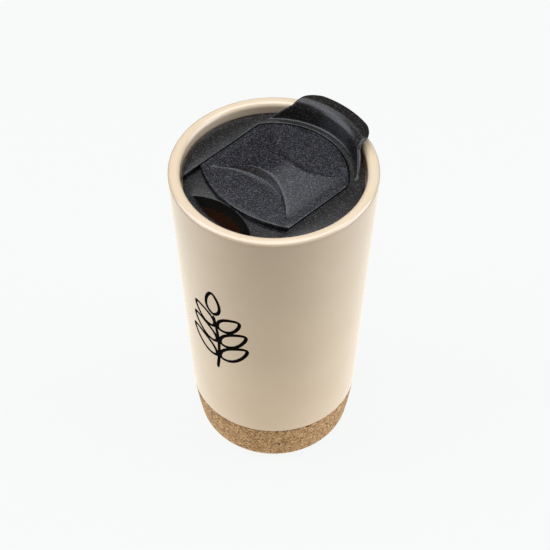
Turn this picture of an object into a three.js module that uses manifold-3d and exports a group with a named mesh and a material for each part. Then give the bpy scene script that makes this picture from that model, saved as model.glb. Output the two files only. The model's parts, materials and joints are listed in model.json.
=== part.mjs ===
// A ceramic travel tumbler with a cork base and a press-in lid with a sliding drink cover.
// Millimetres, +Z up, origin at the centre of the base. Inside the lid's own group +X points to the
// lifting tab and -X to the drink opening, and the group is turned about +Z as it sits in the cup.
import * as THREE from 'three';
import * as BufferGeometryUtils from 'three/addons/utils/BufferGeometryUtils.js';
import Module from 'manifold-3d';

const wasm = await Module();
wasm.setup();

// ---- General ----
const gap = 0.3; // clearance between two pieces that touch
const roundSteps = 48; // flats around a turned piece
const arcSteps = 5; // flats in a small arc
const longArcSteps = 20; // flats in a long one
const crestSteps = 28; // flats over the grip's arch
const pocketSteps = 96; // flats around the circle that a thumb hollow is part of
const holeSteps = 24; // flats around a small round hole or plug

// ---- Cup outside ----
const cupHeight = 154.4;
const rimRadius = 44.5;
const sideTaper = 0.0618; // radius lost for each millimetre down
const bellyHeight = 34; // where the straight side starts to curve in
const bellyArc = 200; // radius of that curve
const lipOuterRound = 1.7;
const lipInnerRound = 2.0;

// ---- Cork base ----
const corkTop = 24.3;
const corkWall = 3.5;
const corkFloor = 3.5;
const corkCorner = 8.9; // rounding between the side and the flat base
const corkEdgeRound = 0.5;

// ---- Ceramic walls and mouth ----
const ceramicWall = 2.4;
const ceramicBase = 2.6;
const wallSpace = 3.4; // between the outer and the inner wall
const floorSpace = 6.2; // between the foot and the inner floor
const boreCorner = 18;
const rimThickness = 5.2; // from the outside to the mouth, at the lip
const sealStep = 0.6; // how much wider the bore is where the gasket seals
const sealRunOut = 2.6; // how far the straight part of the bore runs on below the lid's skirt
const sealTaper = 2; // height over which the straight part runs into the bore
const ledgeChamfer = 1;
const ledgeThickness = 5.4; // solid ceramic under the ledge that the lid sits on
const footEdgeRound = 0.7;
const ventRadius = 3;

// ---- Vent plug ----
const plugBead = 0.9; // how far the bead stands out past the shank
const plugNose = 1.8;

// ---- Lid ----
const lidTurn = Math.PI / 4; // direction of the lifting tab in the cup
const deckDepth = 4.0; // from the rim down to the deck
const lidGap = 0.9; // between the lid's edge and the mouth
const lidEdgeRound = 0.6;
const floorThickness = 2.0;
const skirtLength = 11.7;
const skirtWall = 2.6;
const skirtClearance = 0.9; // between the skirt and the bore
const grooveDepth = 1.1;
const grooveTop = 2.7; // from the underside of the floor down to the groove
const grooveHeight = 5.6;

// ---- Slider ----
const deckSideWidth = 11.6; // from the lid's edge to the channel's side, on the cross axis
const deckEndWidth = 6.6; // from the lid's edge to the channel's round end
const sliderFarCorner = 2.5;
const sliderSetback = 13.4; // from the lid's edge to the middle of the near edge
const sliderNearArc = 49.5;
const sliderTravel = 11;
const plateThickness = 1.1;
const carrierThickness = 0.7;
const plateSplit = 0.3; // the line between the plate and the carrier
const carrierInset = 0.3;
const tongueReach = 1.7; // how far the tongues stand out past the plate's sides
const tongueFrontInset = 3.5; // from the slider's near corners to the tongues
const tongueBackInset = 4.4; // from its far corners to the tongues
const channelSideGap = 0.6;
const channelEndGap = 0.5;

// ---- Grip on the slider ----
const gripHeight = 4.0;
const gripSideInset = 3.7; // plain plate left at each end of the grip
const nearPocketArc = 29.5;
const nearPocketApex = -5.2; // foot of the near wall, on the centre line
const nearPocketLean = 1.7; // how far that wall leans back over its height
const farPocketArc = 25.0;
const farPocketApex = 7.8; // top of the far wall, on the centre line
const farPocketLean = 1.2;

// ---- Drink opening, its seal and the air hole ----
const openingInnerArc = 26;
const openingSetback = 13.9; // from the lid's edge to the opening's inner edge, on the centre line
const openingTipBlunt = 0.6; // cut off each pointed end of the opening
const spoutDepth = 3.7; // from the channel floor down to the bottom of the spout
const spoutTaper = 2; // how far the inner wall leans outwards over that depth
const spoutOuterTaper = 1.6;
const spoutWall = 1.6;
const sealMargin = 0.4; // how far the seal laps over the opening
const carrierRim = 0.5; // carrier left in front of the seal
const airHoleRadius = 1.25;
const airHoleX = -2;
const airPadRadius = 3;
const padWebWidth = 4;

// ---- Lifting tab ----
const tabFootInset = 4; // from the lid's edge to the tab's inner face
const tabLean = 1.2; // how far the wall leans out over its height
const tabWallHeight = 6.2;
const tabThickness = 1.9;
const tabBend = 4.2;
const tabDroop = 0.28; // slope of the flange, in radians
const tabOverhang = 0.9; // how far the tip reaches past the rim
const tabSideInset = 11.9; // from the lid's edge to the foot's side, on the cross axis
const tabSideSlope = 0.81; // half-width lost for each millimetre of height
const tabTipNarrowing = 6; // how much narrower than the foot the tip is, on each side
const tabTipStraight = 6.2; // half the width of the tip between its round corners

// ---- Gasket ----
const gasketBody = 1.0;
const finCount = 2;
const finClearance = 0.3; // between the fin tips and the bore
const finProfile = [[0.25, 0], [0.5, 1], [0.65, 1], [0.75, 0]]; // shares of the pitch and of the reach

// ---- Worked out from the values above ----
const seamHeight = corkTop + gap;
const footInset = corkWall + gap;
const footBottom = corkFloor + gap;
const taperAngle = Math.atan(sideTaper);
const lipHeight = cupHeight - lipOuterRound;
const bellyRadius = rimRadius - sideTaper * (lipHeight - bellyHeight);
const bellyCentre = new THREE.Vector2(
  bellyRadius - bellyArc * Math.cos(taperAngle),
  bellyHeight + bellyArc * Math.sin(taperAngle),
);
const wallDepth = 2 * ceramicWall + wallSpace; // from the outside to the bore, through both walls
const cavityFloor = footBottom + ceramicBase;
const boreFloor = cavityFloor + floorSpace + ceramicWall;
const mouthRadius = rimRadius - rimThickness;
const deckTop = cupHeight - deckDepth;
const plateBottom = deckTop - plateThickness;
const carrierTop = plateBottom - plateSplit;
const carrierBottom = carrierTop - carrierThickness;
const channelFloor = carrierBottom - gap;
const floorUnder = channelFloor - floorThickness;
const seatHeight = floorUnder - gap; // the ledge that the lid sits on
const skirtBottom = floorUnder - skirtLength;
const sealBottom = skirtBottom - sealRunOut;
const sealRadius = sideRadius(sealBottom) - wallDepth + sealStep;
const skirtRadius = sealRadius - skirtClearance;
const skirtInner = skirtRadius - skirtWall;
const grooveRadius = skirtRadius - grooveDepth;
const lidRadius = mouthRadius - lidGap;
const channelHalfWidth = lidRadius - deckSideWidth;
const channelEnd = lidRadius - deckEndWidth;
const sliderHalfWidth = channelHalfWidth - channelSideGap;
const sliderFarRadius = channelEnd - channelEndGap;
const sliderNearReach = lidRadius - sliderSetback;
const sliderNearCentre = sliderNearArc - sliderNearReach;
const gripHalfWidth = sliderHalfWidth - gripSideInset;
const tongueFront = sliderNearCentre - Math.sqrt(sliderNearArc ** 2 - sliderHalfWidth ** 2) + tongueFrontInset;
const tongueBack = farCornerCentre(0, sliderFarRadius).x - tongueBackInset;
const openingApex = openingSetback - lidRadius;
const openingInnerCentre = openingApex - openingInnerArc;
const tabFootRadius = lidRadius - tabFootInset;
const tabFootHalfWidth = lidRadius - tabSideInset;
const tabTipHalfWidth = tabFootHalfWidth - tabTipNarrowing;
const tabTipCorner = tabTipHalfWidth - tabTipStraight;
const tabReach = rimRadius + tabOverhang;
const wellAbove = cupHeight + rimRadius; // a height clear of everything

// ---- Making solids ----

// A closed three.js geometry as a solid for joining and cutting
function solidOf(geometry) {
  geometry.deleteAttribute('normal');
  geometry.deleteAttribute('uv');
  const welded = BufferGeometryUtils.mergeVertices(geometry, 1e-4);
  const corners = [];
  for (let i = 0; i < welded.index.count; i += 3) {
    const [a, b, c] = [welded.index.getX(i), welded.index.getX(i + 1), welded.index.getX(i + 2)];
    if (a !== b && b !== c && c !== a) corners.push(a, b, c);
  }
  return new wasm.Manifold(new wasm.Mesh({
    numProp: 3,
    vertProperties: Float32Array.from(welded.attributes.position.array),
    triVerts: Uint32Array.from(corners),
  }));
}

// A profile of [radius, height] points turned about Z, with the material on its left as it is drawn.
// It starts and ends on the axis, or else it is a ring and is closed here.
function turned(profile) {
  const points = profile.map(([r, z]) => new THREE.Vector2(r, z));
  if (profile[0][0] > 0) points.push(points[0].clone());
  return solidOf(new THREE.LatheGeometry(points, roundSteps).rotateX(Math.PI / 2));
}

// An outline in plan between two heights
function prism(outline, bottom, top) {
  const shape = new THREE.Shape(outline);
  const depth = top - bottom;
  const geometry = new THREE.ExtrudeGeometry(shape, { depth, bevelEnabled: false });
  return solidOf(geometry.translate(0, 0, bottom));
}

// An outline drawn in Y and Z, carried along X between two places
function beam(outline, from, to) {
  const shape = new THREE.Shape(outline);
  const geometry = new THREE.ExtrudeGeometry(shape, { depth: to - from, bevelEnabled: false });
  geometry.rotateX(Math.PI / 2).rotateZ(Math.PI / 2);
  return solidOf(geometry.translate(from, 0, 0));
}

// The triangles that fill an outline, each drawn anticlockwise
function capFaces(outline) {
  return THREE.ShapeUtils.triangulateShape(outline, []).map(([a, b, c]) => {
    const clockwise = THREE.ShapeUtils.isClockWise([outline[a], outline[b], outline[c]]);
    return clockwise ? [a, c, b] : [a, b, c];
  });
}

// Outlines with the same number of points, one above another from the top down, skinned and capped
function loft(outlines, heights) {
  const count = outlines[0].length;
  const positions = outlines.flatMap((outline, k) => outline.flatMap((p) => [p.x, p.y, heights[k]]));
  const faces = [];
  for (let k = 0; k + 1 < outlines.length; k++) {
    for (let i = 0; i < count; i++) {
      const next = (i + 1) % count;
      const [a, b] = [k * count + i, k * count + next];
      faces.push(a, a + count, b, b, a + count, b + count);
    }
  }
  const lowest = (outlines.length - 1) * count;
  capFaces(outlines[0]).forEach(([a, b, c]) => faces.push(a, b, c));
  capFaces(outlines.at(-1)).forEach(([a, b, c]) => faces.push(lowest + a, lowest + c, lowest + b));
  const geometry = new THREE.BufferGeometry();
  geometry.setAttribute('position', new THREE.Float32BufferAttribute(positions, 3));
  geometry.setIndex(faces);
  return solidOf(geometry);
}

function cylinder(radius, bottom, top, x = 0) {
  const geometry = new THREE.CylinderGeometry(radius, radius, top - bottom, holeSteps);
  return solidOf(geometry.rotateX(Math.PI / 2).translate(x, 0, (bottom + top) / 2));
}

function block(x0, x1, y0, y1, z0, z1) {
  const geometry = new THREE.BoxGeometry(x1 - x0, y1 - y0, z1 - z0);
  return solidOf(geometry.translate((x0 + x1) / 2, (y0 + y1) / 2, (z0 + z1) / 2));
}

// A round solid of one radius at its bottom and another at its top, centred on X
function cone(bottomRadius, topRadius, bottom, top, x) {
  const geometry = new THREE.CylinderGeometry(topRadius, bottomRadius, top - bottom, pocketSteps);
  return solidOf(geometry.rotateX(Math.PI / 2).translate(x, 0, (bottom + top) / 2));
}

// Points of an arc, as [radius, height] pairs, from one angle to another
function arc(cx, cz, radius, from, to, steps = arcSteps) {
  return Array.from({ length: steps + 1 }, (_, i) => {
    const angle = from + ((to - from) * i) / steps;
    return [cx + radius * Math.cos(angle), cz + radius * Math.sin(angle)];
  });
}

function planArc(cx, cy, radius, from, to, steps = arcSteps) {
  return arc(cx, cy, radius, from, to, steps).map(([x, y]) => new THREE.Vector2(x, y));
}

function mesh(name, solid, color, roughness, metalness = 0) {
  const { vertProperties, triVerts } = solid.getMesh();
  const geometry = new THREE.BufferGeometry();
  geometry.setAttribute('position', new THREE.BufferAttribute(Float32Array.from(vertProperties), 3));
  geometry.setIndex(new THREE.BufferAttribute(Uint32Array.from(triVerts), 1));
  geometry.computeVertexNormals();
  const material = new THREE.MeshStandardMaterial({ color, roughness, metalness });
  const result = new THREE.Mesh(geometry, material);
  result.name = name;
  return result;
}

// ---- The cup's side, and outlines that run parallel to it ----

function sideRadius(height) {
  if (height >= bellyHeight) return rimRadius - sideTaper * (lipHeight - height);
  return bellyCentre.x + Math.sqrt(bellyArc ** 2 - (height - bellyCentre.y) ** 2);
}

// From the axis at floorHeight, round a corner, and up a side set in by inset, to top
function cupOutline(inset, floorHeight, corner, top) {
  const sideArc = bellyArc - inset;
  const cornerHeight = floorHeight + corner;
  const drop = cornerHeight - bellyCentre.y;
  const cornerRadius = bellyCentre.x + Math.sqrt((sideArc - corner) ** 2 - drop ** 2);
  const touch = Math.asin(drop / (sideArc - corner));
  const parallel = (height) => sideRadius(height) - inset;
  const bellyTop = Math.min(top, bellyHeight);
  const bellyEnd = Math.asin((bellyTop - bellyCentre.y) / sideArc);
  const points = [[0, floorHeight], ...arc(cornerRadius, cornerHeight, corner, -Math.PI / 2, touch)];
  points.push(...arc(bellyCentre.x, bellyCentre.y, sideArc, touch, bellyEnd, 5).slice(1));
  if (top > bellyHeight) points.push([parallel(top), top]);
  return points;
}

// ---- Cup body ----

function ceramicBody() {
  const outer = cupOutline(footInset, footBottom, corkCorner - footInset, seamHeight);
  const seamRadius = sideRadius(seamHeight + footEdgeRound);
  outer.push(...arc(seamRadius - footEdgeRound, seamHeight + footEdgeRound, footEdgeRound, -Math.PI / 2, 0, 4));
  outer.push([sideRadius(bellyHeight), bellyHeight]);
  outer.push(...arc(rimRadius - lipOuterRound, lipHeight, lipOuterRound, -taperAngle, Math.PI / 2));
  outer.push(...arc(mouthRadius + lipInnerRound, cupHeight - lipInnerRound, lipInnerRound, Math.PI / 2, Math.PI));
  outer.push([mouthRadius, seatHeight], [sealRadius + ledgeChamfer, seatHeight]);
  outer.push([sealRadius, seatHeight - ledgeChamfer]);
  outer.push([sealRadius, sealBottom]);
  const bore = cupOutline(wallDepth, boreFloor, boreCorner, sealBottom - sealTaper);
  outer.push(...bore.reverse());

  const stepArc = arc(sideRadius(seamHeight) - footInset, seamHeight, ceramicWall, Math.PI, Math.PI / 2, 4);
  const footWall = footInset + ceramicWall;
  const cavityCorner = corkCorner - footInset - ceramicWall;
  const aboveStep = seamHeight + ceramicWall;
  const cavityTop = seatHeight - ledgeThickness;
  const cavity = cupOutline(footWall, cavityFloor, cavityCorner, seamHeight).slice(0, -1);
  cavity.push(...stepArc, [sideRadius(aboveStep) - ceramicWall, aboveStep]);
  cavity.push([sideRadius(bellyHeight) - ceramicWall, bellyHeight]);
  cavity.push([sideRadius(cavityTop) - ceramicWall, cavityTop], [sealRadius + ceramicWall, cavityTop]);
  cavity.push([sealRadius + ceramicWall, sealBottom]);
  const liner = cupOutline(
    wallDepth - ceramicWall,
    boreFloor - ceramicWall,
    boreCorner + ceramicWall,
    sealBottom - sealTaper,
  );
  cavity.push(...liner.reverse());
  const vent = cylinder(ventRadius, 0, (cavityFloor + boreFloor) / 2 - ceramicWall / 2);
  return turned(outer).subtract(turned(cavity)).subtract(vent);
}

function ventPlug() {
  const shank = ventRadius - gap;
  const beadBottom = cavityFloor + gap;
  return turned([
    [0, footBottom + gap],
    [shank, footBottom + gap],
    [shank, beadBottom],
    [shank + plugBead, beadBottom + gap],
    [shank - plugBead, beadBottom + plugNose],
    [0, beadBottom + plugNose],
  ]);
}

function corkBase() {
  const outer = cupOutline(0, 0, corkCorner, corkTop - corkEdgeRound);
  const topRadius = sideRadius(corkTop);
  outer.push([topRadius - corkEdgeRound, corkTop]);
  const inner = cupOutline(corkWall, corkFloor, corkCorner - corkWall, corkTop);
  return turned([...outer, ...inner.reverse()]);
}

// ---- Lid ----

// A lens between an inner arc, bulging to the axis, and an outer arc, grown by margin all round.
// Both arcs stop short of the points where they would meet, so that its tips are blunt.
function lens(innerCentre, innerArc, outerCentre, outerArc, margin) {
  const [inner, outer] = [innerArc + margin, outerArc + margin];
  const apart = outerCentre - innerCentre;
  const meetX = (inner ** 2 - outer ** 2 + apart ** 2) / (2 * apart);
  const halfWidth = Math.sqrt(inner ** 2 - meetX ** 2) - openingTipBlunt;
  const innerAngle = Math.asin(halfWidth / inner);
  const outerAngle = Math.asin(halfWidth / outer);
  return [
    ...planArc(innerCentre, 0, inner, -innerAngle, innerAngle, longArcSteps),
    ...planArc(outerCentre, 0, outer, Math.PI - outerAngle, Math.PI + outerAngle, longArcSteps),
  ];
}

// The circle that the drink opening's outer edge follows: the slider's near edge when it is closed
const openingOuterCentre = sliderNearCentre - sliderTravel;
const openingOuterArc = sliderNearArc - carrierInset - carrierRim - gap - sealMargin;

function openingOutline(margin) {
  return lens(openingInnerCentre, openingInnerArc, openingOuterCentre, openingOuterArc, margin);
}

// Where a round corner of the slider's far end is centred, with the outline grown by margin
function farCornerCentre(margin, farRadius) {
  const y = sliderHalfWidth - sliderFarCorner;
  return new THREE.Vector2(Math.sqrt((farRadius - sliderFarCorner - margin) ** 2 - y ** 2), y);
}

// The slider's outline, grown by margin, with the far end drawn to farRadius
function sliderOutline(margin, farRadius) {
  const corner = sliderFarCorner + margin;
  const centre = farCornerCentre(margin, farRadius);
  const cornerAngle = centre.angle();
  const nearAngle = Math.asin((sliderHalfWidth + margin) / (sliderNearArc + margin));
  return [
    ...planArc(centre.x, -centre.y, corner, -Math.PI / 2, -cornerAngle),
    ...planArc(0, 0, farRadius, -cornerAngle, cornerAngle, longArcSteps).slice(1, -1),
    ...planArc(centre.x, centre.y, corner, cornerAngle, Math.PI / 2),
    ...planArc(
      sliderNearCentre,
      0,
      sliderNearArc + margin,
      Math.PI - nearAngle,
      Math.PI + nearAngle,
      longArcSteps,
    ),
  ];
}

function channelCut() {
  const outline = sliderOutline(channelSideGap, channelEnd);
  const recess = prism(outline, channelFloor, wellAbove);
  const runOut = block(-rimRadius, 0, -channelHalfWidth, channelHalfWidth, channelFloor, wellAbove);
  const grooveHalf = sliderHalfWidth + tongueReach + gap;
  const groove = block(-rimRadius, tongueBack + gap, -grooveHalf, grooveHalf, channelFloor, carrierTop + gap);
  return recess.add(runOut).add(groove);
}

function liftingTab() {
  const lean = Math.atan(tabLean / tabWallHeight);
  const wallTop = deckTop + tabWallHeight;
  const bendStart = Math.PI - lean;
  const bendEnd = Math.PI / 2 - tabDroop;
  const bendX = tabFootRadius + tabLean + tabBend * Math.cos(lean);
  const bendZ = wallTop - tabBend * Math.sin(lean);
  const tipRound = tabThickness / 2;
  const middle = tabBend - tipRound; // radius of the bend's middle line
  const flange = tabReach - tipRound - (bendX + middle * Math.cos(bendEnd));
  const tipX = tabReach - tipRound;
  const tipZ = bendZ + middle * Math.sin(bendEnd) - flange * Math.tan(tabDroop);
  const footOuter = tabFootRadius + tabThickness / Math.cos(lean);
  const profile = [
    [footOuter, deckTop],
    ...arc(bendX, bendZ, tabBend - tabThickness, bendStart, bendEnd, 6),
    ...arc(tipX, tipZ, tipRound, bendEnd - Math.PI, bendEnd, 6),
    ...arc(bendX, bendZ, tabBend, bendEnd, bendStart),
    [tabFootRadius, deckTop],
    [tabFootRadius, channelFloor],
    [footOuter, channelFloor],
  ];
  const slopeTop = deckTop + tabFootHalfWidth / 2 / tabSideSlope;
  const sides = [
    [tabFootHalfWidth, channelFloor],
    [tabFootHalfWidth, deckTop],
    [tabFootHalfWidth / 2, slopeTop],
  ];
  const front = [...sides, ...sides.map(([y, z]) => [-y, z]).reverse()];
  const frontCut = beam(front.map(([y, z]) => new THREE.Vector2(y, z)), 0, 2 * rimRadius);
  const cornerY = tabTipHalfWidth - tabTipCorner;
  const cornerX = Math.sqrt((tabReach - tabTipCorner) ** 2 - cornerY ** 2);
  const cornerAngle = Math.atan2(cornerY, cornerX);
  const plan = [
    new THREE.Vector2(0, -rimRadius),
    new THREE.Vector2(tabFootRadius - tabTipCorner, -rimRadius),
    ...planArc(cornerX, -cornerY, tabTipCorner, -Math.PI / 2, -cornerAngle, longArcSteps),
    ...planArc(0, 0, tabReach, -cornerAngle, cornerAngle, longArcSteps).slice(1, -1),
    ...planArc(cornerX, cornerY, tabTipCorner, cornerAngle, Math.PI / 2, longArcSteps),
    new THREE.Vector2(tabFootRadius - tabTipCorner, rimRadius),
    new THREE.Vector2(0, rimRadius),
  ];
  const planCut = prism(plan, 0, wellAbove);
  return turned(profile).intersect(frontCut).intersect(planCut);
}

function lidBody() {
  const grooveCeiling = floorUnder - grooveTop;
  const disc = turned([
    [0, floorUnder],
    [skirtInner, floorUnder],
    [skirtInner, skirtBottom],
    [skirtRadius - lidEdgeRound, skirtBottom],
    [skirtRadius, skirtBottom + lidEdgeRound],
    [skirtRadius, grooveCeiling - grooveHeight],
    [grooveRadius, grooveCeiling - grooveHeight],
    [grooveRadius, grooveCeiling],
    [skirtRadius, grooveCeiling],
    [skirtRadius, floorUnder],
    ...arc(lidRadius - lidEdgeRound, floorUnder + lidEdgeRound, lidEdgeRound, -Math.PI / 2, 0, 3),
    ...arc(lidRadius - lidEdgeRound, deckTop - lidEdgeRound, lidEdgeRound, 0, Math.PI / 2, 3),
    [0, deckTop],
  ]);
  const spoutBottom = channelFloor - spoutDepth;
  const narrow = (outerArc, margin) => lens(
    openingInnerCentre,
    openingInnerArc - spoutTaper,
    openingOuterCentre,
    outerArc,
    margin,
  );
  const spoutOuterArc = openingOuterArc - spoutOuterTaper;
  const clearOfSkirt = Math.min(spoutOuterArc, openingOuterCentre + skirtInner - gap);
  const lidHollow = cylinder(skirtInner + gap, spoutBottom, floorUnder + gap);
  const collar = prism(narrow(spoutOuterArc, spoutWall), spoutBottom, floorUnder + gap).intersect(lidHollow);
  const spout = loft(
    [openingOutline(0), narrow(spoutOuterArc, 0), narrow(clearOfSkirt, 0)],
    [channelFloor, spoutBottom, spoutBottom - spoutTaper],
  );
  const spoutMouth = prism(openingOutline(0), channelFloor - gap / 3, channelFloor + gap);
  const airHole = cylinder(airHoleRadius, floorUnder - gap, channelFloor + gap, airHoleX);
  return disc.add(collar).subtract(channelCut()).add(liftingTab())
    .subtract(spout).subtract(spoutMouth).subtract(airHole);
}

function lidGasket() {
  const ceiling = floorUnder - grooveTop - gap;
  const height = grooveHeight - 2 * gap;
  const inner = grooveRadius + gap;
  const outer = inner + gasketBody;
  const finTip = sealRadius - finClearance;
  const pitch = height / finCount;
  const profile = [[inner, ceiling - height], [outer, ceiling - height]];
  for (let i = 0; i < finCount; i++) {
    const foot = ceiling - height + i * pitch;
    profile.push(...finProfile.map(([up, out]) => [outer + (finTip - outer) * out, foot + up * pitch]));
  }
  profile.push([outer, ceiling], [inner, ceiling]);
  return turned(profile);
}

// ---- Slider ----

function gripHump() {
  const crest = Array.from({ length: crestSteps + 1 }, (_, i) => {
    const y = gripHalfWidth * (1 - (2 * i) / crestSteps);
    return new THREE.Vector2(y, deckTop + gripHeight * (1 - (y / gripHalfWidth) ** 2) ** 2);
  });
  crest.push(new THREE.Vector2(-gripHalfWidth, plateBottom), new THREE.Vector2(gripHalfWidth, plateBottom));
  const nearCentre = nearPocketApex - nearPocketArc;
  const farCentre = farPocketApex + farPocketArc;
  const top = deckTop + gripHeight;
  const nearPocket = cone(nearPocketArc, nearPocketArc + nearPocketLean, deckTop, top, nearCentre);
  const farPocket = cone(farPocketArc - farPocketLean, farPocketArc, deckTop, top, farCentre);
  return beam(crest, -sliderNearReach, sliderFarRadius).subtract(nearPocket).subtract(farPocket);
}

function sliderTop() {
  const outline = sliderOutline(0, sliderFarRadius);
  const plate = prism(outline, plateBottom, deckTop);
  const column = prism(outline, plateBottom, wellAbove);
  return plate.add(gripHump().intersect(column));
}

// The silicone pad: a lens over the drink opening, a round pad over the air hole, and a web between
function sealOutline(margin, bottom, top) {
  const moved = openingOutline(sealMargin + margin).map((p) => new THREE.Vector2(p.x + sliderTravel, p.y));
  const padX = airHoleX + sliderTravel;
  const halfWeb = padWebWidth / 2 + margin;
  const web = block(openingApex + sliderTravel - padWebWidth, padX, -halfWeb, halfWeb, bottom, top);
  return prism(moved, bottom, top).add(web).add(cylinder(airPadRadius + margin, bottom, top, padX));
}

function sliderCarrier() {
  const outline = sliderOutline(-carrierInset, sliderFarRadius - carrierInset);
  const plate = prism(outline, carrierBottom, carrierTop);
  const reach = sliderHalfWidth + tongueReach;
  const tongues = block(tongueFront, tongueBack, -reach, reach, carrierBottom, carrierTop);
  return plate.add(tongues).subtract(sealOutline(gap, carrierBottom - gap, carrierTop + gap));
}

function sliderSeal() {
  return sealOutline(0, carrierBottom, carrierTop);
}

// ---- The assembly ----

const glaze = 0xf1ece2;
const cork = 0xb08a62;
const charcoal = 0x2f3236;
const silicone = 0x26282a;

const cup = new THREE.Group();
cup.add(mesh('ceramic_body', ceramicBody(), glaze, 0.25));
cup.add(mesh('vent_plug', ventPlug(), silicone, 0.6));
cup.add(mesh('cork_base', corkBase(), cork, 0.85));

const lid = new THREE.Group();
lid.rotation.z = lidTurn;
lid.add(mesh('lid_body', lidBody(), charcoal, 0.45));
lid.add(mesh('lid_gasket', lidGasket(), silicone, 0.6));
lid.add(mesh('slider_top', sliderTop(), charcoal, 0.45));
lid.add(mesh('slider_carrier', sliderCarrier(), charcoal, 0.5));
lid.add(mesh('slider_seal', sliderSeal(), silicone, 0.6));
cup.add(lid);

export default cup;
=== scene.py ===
"""A ceramic travel tumbler with a cork base and a press-in lid with a sliding drink cover.

Shapes are worked out in millimetres and put into the meshes in metres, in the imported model's frame.
The lid and what is on it are worked out with +X towards the lifting tab, then turned to where it sits.
"""

import json
import math

import bmesh
import bpy
import numpy as np
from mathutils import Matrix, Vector

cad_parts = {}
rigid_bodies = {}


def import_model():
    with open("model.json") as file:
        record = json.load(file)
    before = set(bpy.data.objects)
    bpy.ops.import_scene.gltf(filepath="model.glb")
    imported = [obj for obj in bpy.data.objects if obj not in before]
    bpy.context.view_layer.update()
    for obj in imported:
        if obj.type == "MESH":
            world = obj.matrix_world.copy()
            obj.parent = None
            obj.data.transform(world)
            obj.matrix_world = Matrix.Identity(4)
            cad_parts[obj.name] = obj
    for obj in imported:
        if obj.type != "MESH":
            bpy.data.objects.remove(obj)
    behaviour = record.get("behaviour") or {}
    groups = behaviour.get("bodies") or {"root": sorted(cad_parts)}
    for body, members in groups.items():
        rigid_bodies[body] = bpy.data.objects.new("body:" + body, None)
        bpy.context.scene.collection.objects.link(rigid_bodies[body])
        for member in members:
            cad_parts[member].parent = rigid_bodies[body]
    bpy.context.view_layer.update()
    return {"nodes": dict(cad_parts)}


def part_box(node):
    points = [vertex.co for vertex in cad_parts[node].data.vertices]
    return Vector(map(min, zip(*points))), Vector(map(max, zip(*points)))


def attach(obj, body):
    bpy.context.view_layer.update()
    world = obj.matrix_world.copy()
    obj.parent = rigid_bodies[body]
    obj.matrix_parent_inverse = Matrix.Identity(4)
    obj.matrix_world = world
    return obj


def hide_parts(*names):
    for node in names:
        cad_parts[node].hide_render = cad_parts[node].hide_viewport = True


for stray in list(bpy.data.objects):
    bpy.data.objects.remove(stray, do_unlink=True)

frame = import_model()

MM = 0.001
HALF = math.pi / 2
LID_TURN = math.pi / 4


def corners(node):
    """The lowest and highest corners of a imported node, in millimetres."""
    low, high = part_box(node)
    return np.array(low) / MM, np.array(high) / MM


# ---- Sizes taken from the frame ----
ceramic_low, ceramic_high = corners("ceramic_body")
cork_high = corners("cork_base")[1]
lid_low = corners("lid_body")[0]
plate_low = corners("slider_top")[0]
carrier_low = corners("slider_carrier")[0]
gasket_low, gasket_high = corners("lid_gasket")

RIM_HEIGHT = ceramic_high[2]
RIM_RADIUS = ceramic_high[0]
FOOT_BOTTOM = ceramic_low[2]
CORK_TOP = cork_high[2]
SKIRT_BOTTOM = lid_low[2]
PLATE_BOTTOM = plate_low[2]
CARRIER_BOTTOM = carrier_low[2]

# ---- Sizes of the cup ----
GAP = 0.3
SIDE_TAPER = 0.0618
BELLY_HEIGHT = 34.0
BELLY_ARC = 200.0
LIP_OUTER_ROUND = 1.7
LIP_INNER_ROUND = 2.0
LIP_HEIGHT = RIM_HEIGHT - LIP_OUTER_ROUND
CORK_WALL = 3.5
CORK_CORNER = 8.9
CORK_EDGE_ROUND = 0.3
SEAM_FILL = 0.2
SEAM_HEIGHT = CORK_TOP + GAP
FOOT_EDGE_ROUND = 1.0
WALL_DEPTH = 8.2
BORE_FLOOR = 15.0
BORE_CORNER = 18.0
MOUTH_RADIUS = 39.3
SEAT_DEPTH = 8.6
SEAL_LENGTH = 14.0
SEAL_TAPER = 2.0
SEAL_STEP = 0.6
SEAT_CORNER = 0.8
SEAL_CORNER = 1.0

# ---- Sizes of the lid ----
PLATE_THICKNESS = 1.1
DECK_TOP = PLATE_BOTTOM + PLATE_THICKNESS
CHANNEL_FLOOR = CARRIER_BOTTOM - GAP
FLOOR_THICKNESS = 2.0
FLOOR_UNDER = CHANNEL_FLOOR - FLOOR_THICKNESS
LID_RADIUS = 38.4
DECK_EDGE_ROUND = 0.5
CHANNEL_EDGE_ROUND = 0.4
CHANNEL_HALF_WIDTH = 26.8
CHANNEL_END = 31.8
CHANNEL_CORNER = 3.1
RAIL_DEPTH = 1.5
RAIL_TOP = PLATE_BOTTOM
RAIL_END = 12.26
SKIRT_RADIUS = 34.7
SKIRT_INNER = 32.1
GROOVE_DEPTH = 1.1
FLOOR_TOP_ROUND = 0.5
FLOOR_UNDER_ROUND = 0.6
SPOUT_LIP_ROUND = 0.2
SPOUT_INSIDE_SKIRT = 0.4

# ---- Sizes of the drink opening ----
OPENING_INNER_ARC = 26.0
OPENING_INNER_CENTRE = -24.5 - OPENING_INNER_ARC
OPENING_OUTER_CENTRE = 13.5
OPENING_OUTER_ARC = 48.0
OPENING_TIP_BLUNT = 0.6
OPENING_EDGE_ROUND = 0.35
SPOUT_TAPER = 2.4
SPOUT_OUTER_TAPER = 1.6
SPOUT_WALL = 1.6
SPOUT_DEPTH = 3.7
SPOUT_BOTTOM = CHANNEL_FLOOR - SPOUT_DEPTH

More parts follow.
